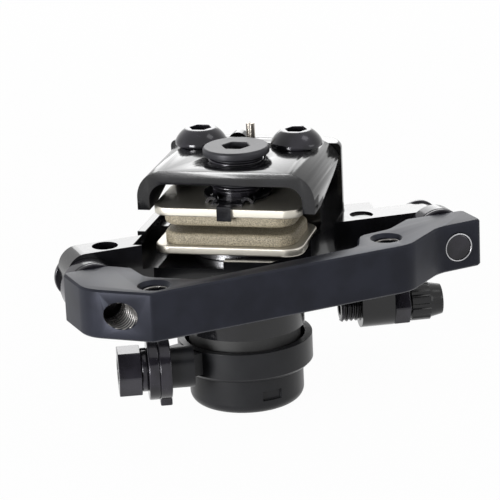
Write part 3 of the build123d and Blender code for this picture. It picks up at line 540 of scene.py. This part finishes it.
class ThreadWinder:
    """Winds screw threads with one geometry tree."""

    TREE = "screw_thread"
    INPUTS = ("Radius", "Pitch", "Length", "Crest")
    STEPS_IN_TURN = 40
    SECTION_SIDES = 4

    def __init__(self) -> None:
        """Builds the tree once."""
        self.tree = bpy.data.node_groups.get(self.TREE) or self._build()

    def _build(self) -> bpy.types.NodeTree:
        """Builds the tree: a spiral, a four-sided crest swept along it, then a material.

        Returns:
            The tree, its sizes as named inputs.
        """
        tree = bpy.data.node_groups.new(self.TREE, "GeometryNodeTree")
        face = tree.interface
        face.new_socket("Geometry", in_out="OUTPUT", socket_type="NodeSocketGeometry")
        for name in self.INPUTS:
            face.new_socket(name, in_out="INPUT", socket_type="NodeSocketFloat")
        face.new_socket("Material", in_out="INPUT", socket_type="NodeSocketMaterial")
        sheet = ShaderSheet(tree)
        given = sheet.node("NodeGroupInput", {}, {})
        radius, pitch, length, crest = (Signal(sheet, given.outputs[name]) for name in self.INPUTS)
        turns = length / pitch
        inner = radius - crest
        spiral = sheet.signal(
            "GeometryNodeCurveSpiral", {},
            {
                "Resolution": self.STEPS_IN_TURN, "Rotations": turns, "Height": length,
                "Start Radius": inner, "End Radius": inner,
            },
        )
        upright = sheet.signal("GeometryNodeSetCurveNormal", {"mode": "Z_UP"}, {"Curve": spiral})
        section = sheet.signal(
            "GeometryNodeCurvePrimitiveCircle", {"mode": "RADIUS"},
            {"Resolution": self.SECTION_SIDES, "Radius": crest},
        )
        swept = sheet.signal(
            "GeometryNodeCurveToMesh", {}, {"Curve": upright, "Profile Curve": section, "Fill Caps": True}
        )
        real = sheet.signal("GeometryNodeRealizeInstances", {}, {"Geometry": swept})
        finished = sheet.signal(
            "GeometryNodeSetMaterial", {}, {"Geometry": real, "Material": given.outputs["Material"]}
        )
        sheet.node("NodeGroupOutput", {}, {"Geometry": finished})
        return tree

    def wind(
        self, name: str, place: Matrix, radius_mm: float, pitch_mm: float, length_mm: float, crest_mm: float,
        finish: Finish,
    ) -> bpy.types.Object:
        """Winds one thread and makes it a plain mesh in its place.

        Args:
            name: The piece's name.
            place: Where its axis starts and points.
            radius_mm: Nominal radius, to the crests.
            pitch_mm: Rise in a turn.
            length_mm: Length along the axis.
            crest_mm: Half height of the crest's section.
            finish: Its finish.

        Returns:
            The finished piece.
        """
        holder = bpy.data.objects.new(name, bpy.data.meshes.new(name))
        bpy.context.scene.collection.objects.link(holder)
        modifier = holder.modifiers.new("thread", "NODES")
        modifier.node_group = self.tree
        values = dict(zip(self.INPUTS, (radius_mm * MM, pitch_mm * MM, length_mm * MM, crest_mm * MM)))
        for item in self.tree.interface.items_tree:
            if item.in_out == "INPUT":
                modifier[item.identifier] = values.get(item.name, finish.material())
        make_plain(holder)
        holder.data.transform(place)
        if not holder.data.materials:
            holder.data.materials.append(finish.material())
        return holder


@dataclass
class FrameBracket(SubAssembly):
    """The machined bar between the frame and the caliper."""

    edge_mm: float = 0.5
    crest_mm: float = 0.27
    seat_crest_mm: float = 0.22
    pitch_mm: float = 1.0
    hole_radius_mm: float = 2.5
    hole_pitch_mm: float = 51.0
    hole_offset_mm: float = -3.8
    hole_distance_mm: float = -21.3
    mouth_mm: float = 0.9
    end_face_turn: float = radians(-6.1)
    end_face_mm: float = -25.15
    end_overrun_mm: float = 3.0
    threaded_radius_mm: float = 2.72
    weld_mm: float = 0.0001

    def build(self) -> None:
        """Dresses the bar and cuts its threads."""
        winder = ThreadWinder()
        seat = about(MOUNT_TURN + pi / 2, self.end_face_mm, -BOLT_AXES_MM["left"], BOLT_HEIGHT_MM)
        bar = self.soften("adapter_bracket", ANODISED, self.edge_mm, steps=3, weighted=False)
        self._draw_in(bar, seat)
        self.settle(bar, "base", "bracket", "adapter_bracket")
        low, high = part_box("adapter_bracket")
        turn = Matrix.Rotation(BRACKET_TURN, 4, "Z")
        for side, half in (("left", -0.5), ("right", 0.5)):
            along = self.hole_offset_mm + half * self.hole_pitch_mm
            spot = turn @ Vector((along * MM, self.hole_distance_mm * MM, low.z + self.mouth_mm * MM))
            depth = (high.z - low.z) / MM - 2 * self.mouth_mm
            thread = winder.wind(
                f"{side}_frame_hole_thread", Matrix.Translation(spot), self.hole_radius_mm + self.crest_mm,
                self.pitch_mm, depth, self.crest_mm, CUT_THREAD,
            )
            self.settle(thread, "base", "bracket")
        thread = winder.wind(
            "left_seat_thread", seat @ Matrix.Translation((0.0, 0.0, -self.end_overrun_mm * MM)),
            self.threaded_radius_mm + self.seat_crest_mm, self.pitch_mm,
            BOLT_TIP_OUT_MM - self.end_face_mm + self.end_overrun_mm, self.seat_crest_mm, CUT_THREAD,
        )
        self._trim(thread, seat.translation)
        self.settle(thread, "base", "bracket")

    def _draw_in(self, bar: bpy.types.Object, seat: Matrix) -> None:
        """Draws the left seat's hole in to its thread, its mouth kept in the bar's slanted end face.

        Args:
            bar: The bar's softened copy.
            seat: Place on the hole's axis in the end face, its Z into the bar.
        """
        share = self.threaded_radius_mm / BOLT_RADIUS_MM
        for vertex, spot in self.on_shank(bar, seat, BOLT_RADIUS_MM):
            height = spot.z * share if spot.z < self.end_overrun_mm * MM else spot.z
            vertex.co = seat @ Vector((spot.x * share, spot.y * share, height))

    def _trim(self, thread: bpy.types.Object, spot: Vector) -> None:
        """Cuts a thread off at the bar's end face and closes its end.

        Args:
            thread: The thread, wound past the face.
            spot: Place of the hole's axis in the face.
        """
        shape = bmesh.new()
        shape.from_mesh(thread.data)
        bmesh.ops.remove_doubles(shape, verts=shape.verts, dist=self.weld_mm * MM)
        facing = Vector((sin(self.end_face_turn), -cos(self.end_face_turn), 0.0))
        inside = spot - facing * self.seat_crest_mm * MM
        parts = shape.verts[:] + shape.edges[:] + shape.faces[:]
        bmesh.ops.bisect_plane(shape, geom=parts, plane_co=inside, plane_no=facing, clear_outer=True)
        bmesh.ops.holes_fill(shape, edges=[edge for edge in shape.edges if edge.is_boundary])
        shape.to_mesh(thread.data)
        shape.free()


@dataclass
class CaliperBody(SubAssembly):
    """The casting and what is fixed in it."""

    edge_mm: float = 0.5
    seal_edge_mm: float = 0.3

    def build(self) -> None:
        """Dresses the casting, its seal and its fixed inner pieces."""
        self.dress("caliper_body", ENAMEL, self.edge_mm, "base", "body", steps=3)
        self.dress("dust_seal", RUBBER, self.seal_edge_mm, "base", "seal")
        self.paint(BRONZE, "spindle_bush")
        self.paint(GROUND_STEEL, "thrust_washer")
        self.paint(BLACK_SPRING, "return_spring")


@dataclass
class OuterPlate(SubAssembly):
    """The pressed channel over the rotor."""

    edge_mm: float = 0.45
    facing_in: float = 0.3

    def build(self) -> None:
        """Dresses the plate; its inward faces get a duller, darker enamel, painted shade that also stands for
        thinner paint there.
        """
        plate = self.soften("outer_plate", ENAMEL, self.edge_mm, steps=3, weighted=False)
        plate.data.materials.append(DULL_AND_SHADED_ENAMEL.material())
        # Faces that look inward or down take the duller enamel: painted shade, which also stands for thinner
        # paint
        for face in plate.data.polygons:
            inward = face.normal.z < -self.facing_in or face.normal.x * face.center.x < 0.0
            face.material_index = 1 if inward and abs(face.normal.y) < self.facing_in else 0
        self.settle(plate, "base", "plate", "outer_plate")


@dataclass
class Fasteners(SubAssembly):
    """Bolts and washers that hold the plate and the caliper."""

    edge_mm: float = 0.3
    pin_edge_mm: float = 0.12
    tip_ring_mm: float = 0.19
    tip_turn_mm: float = 0.04

    def build(self) -> None:
        """Dresses the bolts and washers; each caliper bolt's tip gets a bright steel ring, a painted
        highlight that also stands for its bare first thread.
        """
        for node in ("plate_bolts", "mount_bolts", "convex_washers", "concave_washers"):
            self.dress(node, OXIDE, self.edge_mm, "base", "oxide", steps=3)
        self.dress("pad_pin", BRIGHT_PIN, self.pin_edge_mm, "base", "pin")
        # A bright steel ring at each bolt's tip: a painted highlight on the tip's chamfer, which also stands
        # for the bare first thread
        for side, along in BOLT_AXES_MM.items():
            place = about(MOUNT_TURN + pi / 2, BOLT_TIP_OUT_MM, -along, BOLT_HEIGHT_MM)
            ring = ThreadWinder().wind(
                f"{side}_bolt_tip_ring", place, BOLT_RADIUS_MM, self.tip_turn_mm, self.tip_turn_mm,
                self.tip_ring_mm, GROUND_STEEL,
            )
            self.settle(ring, "base", "oxide")


@dataclass
class PadPair(SubAssembly):
    """Both brake pads, the clip and the adjusting foot."""

    edge_mm: float = 0.35
    clip_edge_mm: float = 0.12
    foot_edge_mm: float = 0.2
    grit_mm: float = 0.28
    lump_mm: float = 0.9
    lump_depth: int = 4
    rough_mm: float = 0.16
    rough_level: float = 0.75
    bodies: dict[str, str] = field(default_factory=lambda: {"fixed": "fixed_pad", "moving": "piston"})

    def build(self) -> None:
        """Dresses each pad's backing and friction block."""
        for side, body in self.bodies.items():
            self.dress(f"{side}_pad_backing", PAD_STEEL, self.edge_mm, body, "pad_steel", steps=3)
            self.settle(self._gritty(f"{side}_pad_friction"), body, "friction", f"{side}_pad_friction")
        self.dress("pad_clip", BLACK_SPRING, self.clip_edge_mm, "fixed_pad", "spring_black")
        self.dress("adjuster_foot", OXIDE, self.foot_edge_mm, "fixed_pad", "inner_steel")

    def _gritty(self, node: str) -> bpy.types.Object:
        """Makes a friction block whose faces are broken up like pressed grit.

        Args:
            node: The block's CAD node.

        Returns:
            The block, not hung on its body yet.
        """
        piece = self.soften(node, SINTERED, self.edge_mm)
        piece.modifiers.clear()
        remesh = piece.modifiers.new("grit", "REMESH")
        remesh.mode = "VOXEL"
        remesh.voxel_size = self.grit_mm * MM
        remesh.use_smooth_shade = True
        pattern = bpy.data.textures.new(f"{node}_grit", "CLOUDS")
        pattern.noise_scale = self.lump_mm * MM
        pattern.noise_depth = self.lump_depth
        shift = piece.modifiers.new("rough", "DISPLACE")
        shift.texture = pattern
        shift.strength = self.rough_mm * MM
        shift.mid_level = self.rough_level
        shift.texture_coords = "LOCAL"
        make_plain(piece)
        return piece


@dataclass
class AdjustingScrew(SubAssembly):
    """The fixed pad's adjusting screw."""

    edge_mm: float = 0.2
    thread_start_mm: float = 0.2
    bare_length_mm: float = 1.8
    radius_mm: float = 5.75
    root_mm: float = 5.3
    pitch_mm: float = 1.0
    crest_mm: float = 0.42

    def build(self) -> None:
        """Dresses the screw and winds its thread."""
        low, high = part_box("pad_adjuster")
        place = Matrix.Translation((0.0, 0.0, low.z))
        piece = self.soften("pad_adjuster", ADJUSTER_BLACK, self.edge_mm, steps=3)
        self.neck(piece, place, self.radius_mm, self.root_mm)
        self.settle(piece, "adjuster", "adjuster", "pad_adjuster")
        start = place @ Matrix.Translation((0, 0, self.thread_start_mm * MM))
        length = (high.z - low.z) / MM - self.bare_length_mm
        thread = ThreadWinder().wind(
            "pad_adjuster_thread", start, self.radius_mm, self.pitch_mm, length, self.crest_mm, OXIDE
        )
        self.settle(thread, "adjuster", "adjuster")


@dataclass
class Actuator(SubAssembly):
    """Ball ramps, piston and the parts that the housing hides."""

    def build(self) -> None:
        """Paints the hidden pieces."""
        self.paint(GROUND_STEEL, "piston", "lifting_ramp", "turning_ramp", "ramp_balls")
        self.paint(RUBBER, "piston_ring")
        self.paint(BRONZE, "ball_cage")
        self.paint(OXIDE, "arm_screw", "arm_screw_washer")


@dataclass
class ActuatorArm(SubAssembly):
    """The arm under the housing, its cap and its cable clamp."""

    edge_mm: float = 0.35
    small_edge_mm: float = 0.3
    bolt_edge_mm: float = 0.55

    def build(self) -> None:
        """Dresses the arm, cap and clamp."""
        self.dress("actuator_arm", MATTE_PLASTIC, self.edge_mm, "arm", "body", steps=3)
        self.dress("end_cap", MATTE_PLASTIC, self.small_edge_mm, "arm", "cap", steps=3)
        for node in ("clamp_plate", "clamp_washer", "clamp_spring_washer"):
            self.dress(node, OXIDE, self.small_edge_mm, "arm", "oxide", steps=3)
        self.dress("clamp_bolt", OXIDE, self.bolt_edge_mm, "arm", "oxide", steps=4)


@dataclass
class BarrelAdjuster(SubAssembly):
    """The cable's barrel adjuster and its locknut."""

    edge_mm: float = 0.2
    nut_edge_mm: float = 0.25
    thread_start_mm: float = 0.2
    thread_length_mm: float = 14.4
    start_mm: float = 22.9
    out_mm: float = 16.4
    height_mm: float = -27.4
    radius_mm: float = 3.0
    root_mm: float = 2.6
    pitch_mm: float = 1.0
    crest_mm: float = 0.38

    def build(self) -> None:
        """Dresses the barrel, winds its thread and dresses the locknut."""
        place = about(BARREL_TURN, self.start_mm, self.out_mm, self.height_mm)
        piece = self.soften("barrel_adjuster", GLOSS_PLASTIC, self.edge_mm, steps=3)
        self.neck(piece, place, self.radius_mm, self.root_mm)
        self.settle(piece, "barrel", "knob", "barrel_adjuster")
        start = place @ Matrix.Translation((0, 0, self.thread_start_mm * MM))
        thread = ThreadWinder().wind(
            "barrel_thread", start, self.radius_mm, self.pitch_mm, self.thread_length_mm, self.crest_mm, OXIDE
        )
        self.settle(thread, "barrel", "oxide")
        self.dress("barrel_locknut", OXIDE, self.nut_edge_mm, "locknut", "oxide", steps=3)


@dataclass
class Softbox:
    """One soft lamp, aimed at the caliper."""

    name: str
    spot: tuple[float, float, float]
    size: float
    watts: float

    def light(self) -> None:
        """Hangs the lamp."""
        lamp = bpy.data.lights.new(self.name, "AREA")
        lamp.shape = "SQUARE"
        lamp.size = self.size
        lamp.energy = self.watts
        holder = bpy.data.objects.new(self.name, lamp)
        bpy.context.scene.collection.objects.link(holder)
        holder.location = self.spot
        holder.rotation_euler = (-Vector(self.spot)).to_track_quat("-Z", "Y").to_euler()


@dataclass
class Studio:
    """The pale room, its lamps and the camera."""

    ambient: float = 0.34
    floor_half: float = 3.0
    floor_gap_mm: float = 0.1
    floor_grey: float = 0.9
    floor_glow: float = 0.97
    clip_start: float = 0.01
    lamps: tuple[Softbox, ...] = (
        Softbox("left_softbox", (-0.26, -0.46, 0.04), size=0.20, watts=3.8),
        Softbox("right_softbox", (0.50, -0.06, 0.10), size=0.22, watts=0.3),
        Softbox("rear_softbox", (-0.14, 0.50, 0.22), size=0.32, watts=0.85),
        Softbox("top_softbox", (0.24, 0.02, 0.42), size=0.16, watts=0.2),
    )

    def build(self) -> None:
        """Sets up the world, floor, lamps and camera."""
        bpy.context.scene.view_settings.view_transform = "Standard"
        self._world()
        self._floor()
        for lamp in self.lamps:
            lamp.light()
        self._camera()

    @staticmethod
    def _seen(sheet: ShaderSheet) -> Signal:
        """Tells the rays that show the background: camera, glossy and transmission rays.

        Args:
            sheet: The tree to add the nodes to.

        Returns:
            One for such rays, and none for others.
        """
        rays = sheet.node("ShaderNodeLightPath", {}, {}).outputs
        names = ("Is Camera Ray", "Is Glossy Ray", "Is Transmission Ray")
        camera, glossy, through = (Signal(sheet, rays[name]) for name in names)
        return camera.larger(glossy).larger(through)

    def _world(self) -> None:
        """White to the camera and in reflections, and a plain grey light elsewhere."""
        world = bpy.data.worlds.new("pale_room")
        bpy.context.scene.world = world
        world.use_nodes = True
        sheet = ShaderSheet(world.node_tree)
        light = sheet.node("ShaderNodeBackground", {}, {"Color": (1, 1, 1, 1), "Strength": self.ambient})
        white = sheet.node("ShaderNodeBackground", {}, {"Color": (1, 1, 1, 1), "Strength": 1.0})
        mixed = sheet.node(
            "ShaderNodeMixShader", {}, {0: self._seen(sheet), 1: light.outputs[0], 2: white.outputs[0]}
        )
        sheet.node("ShaderNodeOutputWorld", {}, {"Surface": mixed.outputs[0]})

    def _floor(self) -> None:
        """Pale floor just under the lowest piece."""
        low = cad_bounds[0][2] - self.floor_gap_mm * MM
        mesh = bpy.data.meshes.new("floor")
        half = self.floor_half
        corners = [(-half, -half, low), (half, -half, low), (half, half, low), (-half, half, low)]
        mesh.from_pydata(corners, [], [(0, 1, 2, 3)])
        material = bpy.data.materials.new("pale_floor")
        material.use_nodes = True
        sheet = ShaderSheet(material.node_tree)
        grey = self.floor_grey
        cover = sheet.node("ShaderNodeBsdfDiffuse", {}, {"Color": (grey, grey, grey, 1)})
        glow = sheet.node("ShaderNodeEmission", {}, {"Color": (1, 1, 1, 1), "Strength": 1.0})
        share = self._seen(sheet) * self.floor_glow
        mixed = sheet.node("ShaderNodeMixShader", {}, {0: share, 1: cover.outputs[0], 2: glow.outputs[0]})
        sheet.node("ShaderNodeOutputMaterial", {}, {"Surface": mixed.outputs[0]})
        mesh.materials.append(material)
        floor = bpy.data.objects.new("floor", mesh)
        bpy.context.scene.collection.objects.link(floor)

    def _camera(self) -> None:
        """Camera at the photograph's place."""
        back = Vector((sin(VIEW_TURN) * cos(VIEW_RISE), -cos(VIEW_TURN) * cos(VIEW_RISE), sin(VIEW_RISE)))
        right = Vector((cos(VIEW_TURN), sin(VIEW_TURN), 0.0))
        up = back.cross(right)
        rolled_right = cos(VIEW_ROLL) * right + sin(VIEW_ROLL) * up
        rolled_up = -sin(VIEW_ROLL) * right + cos(VIEW_ROLL) * up
        turn = Matrix((rolled_right, rolled_up, back)).transposed()
        spot = -(turn @ (VIEW_OFFSET_MM * MM))
        data = bpy.data.cameras.new("photo_view")
        data.sensor_width = SENSOR_WIDTH_MM
        data.lens = SENSOR_WIDTH_MM * VIEW_FOCAL_PX / PHOTO_SIZE_PX
        data.clip_start = self.clip_start
        camera = bpy.data.objects.new("photo_view", data)
        camera.matrix_world = Matrix.Translation(spot) @ turn.to_4x4()
        bpy.context.scene.collection.objects.link(camera)
        bpy.context.scene.camera = camera


def main() -> None:
    """Builds every sub-assembly in order."""
    logging.basicConfig(level=logging.INFO, format="%(name)s: %(message)s")
    assemblies = (
        FrameBracket(), CaliperBody(), OuterPlate(), Fasteners(), PadPair(), AdjustingScrew(), Actuator(),
        ActuatorArm(), BarrelAdjuster(),
    )
    for assembly in assemblies:
        assembly.build()
    Studio().build()


if __name__ == "__main__":
    main()
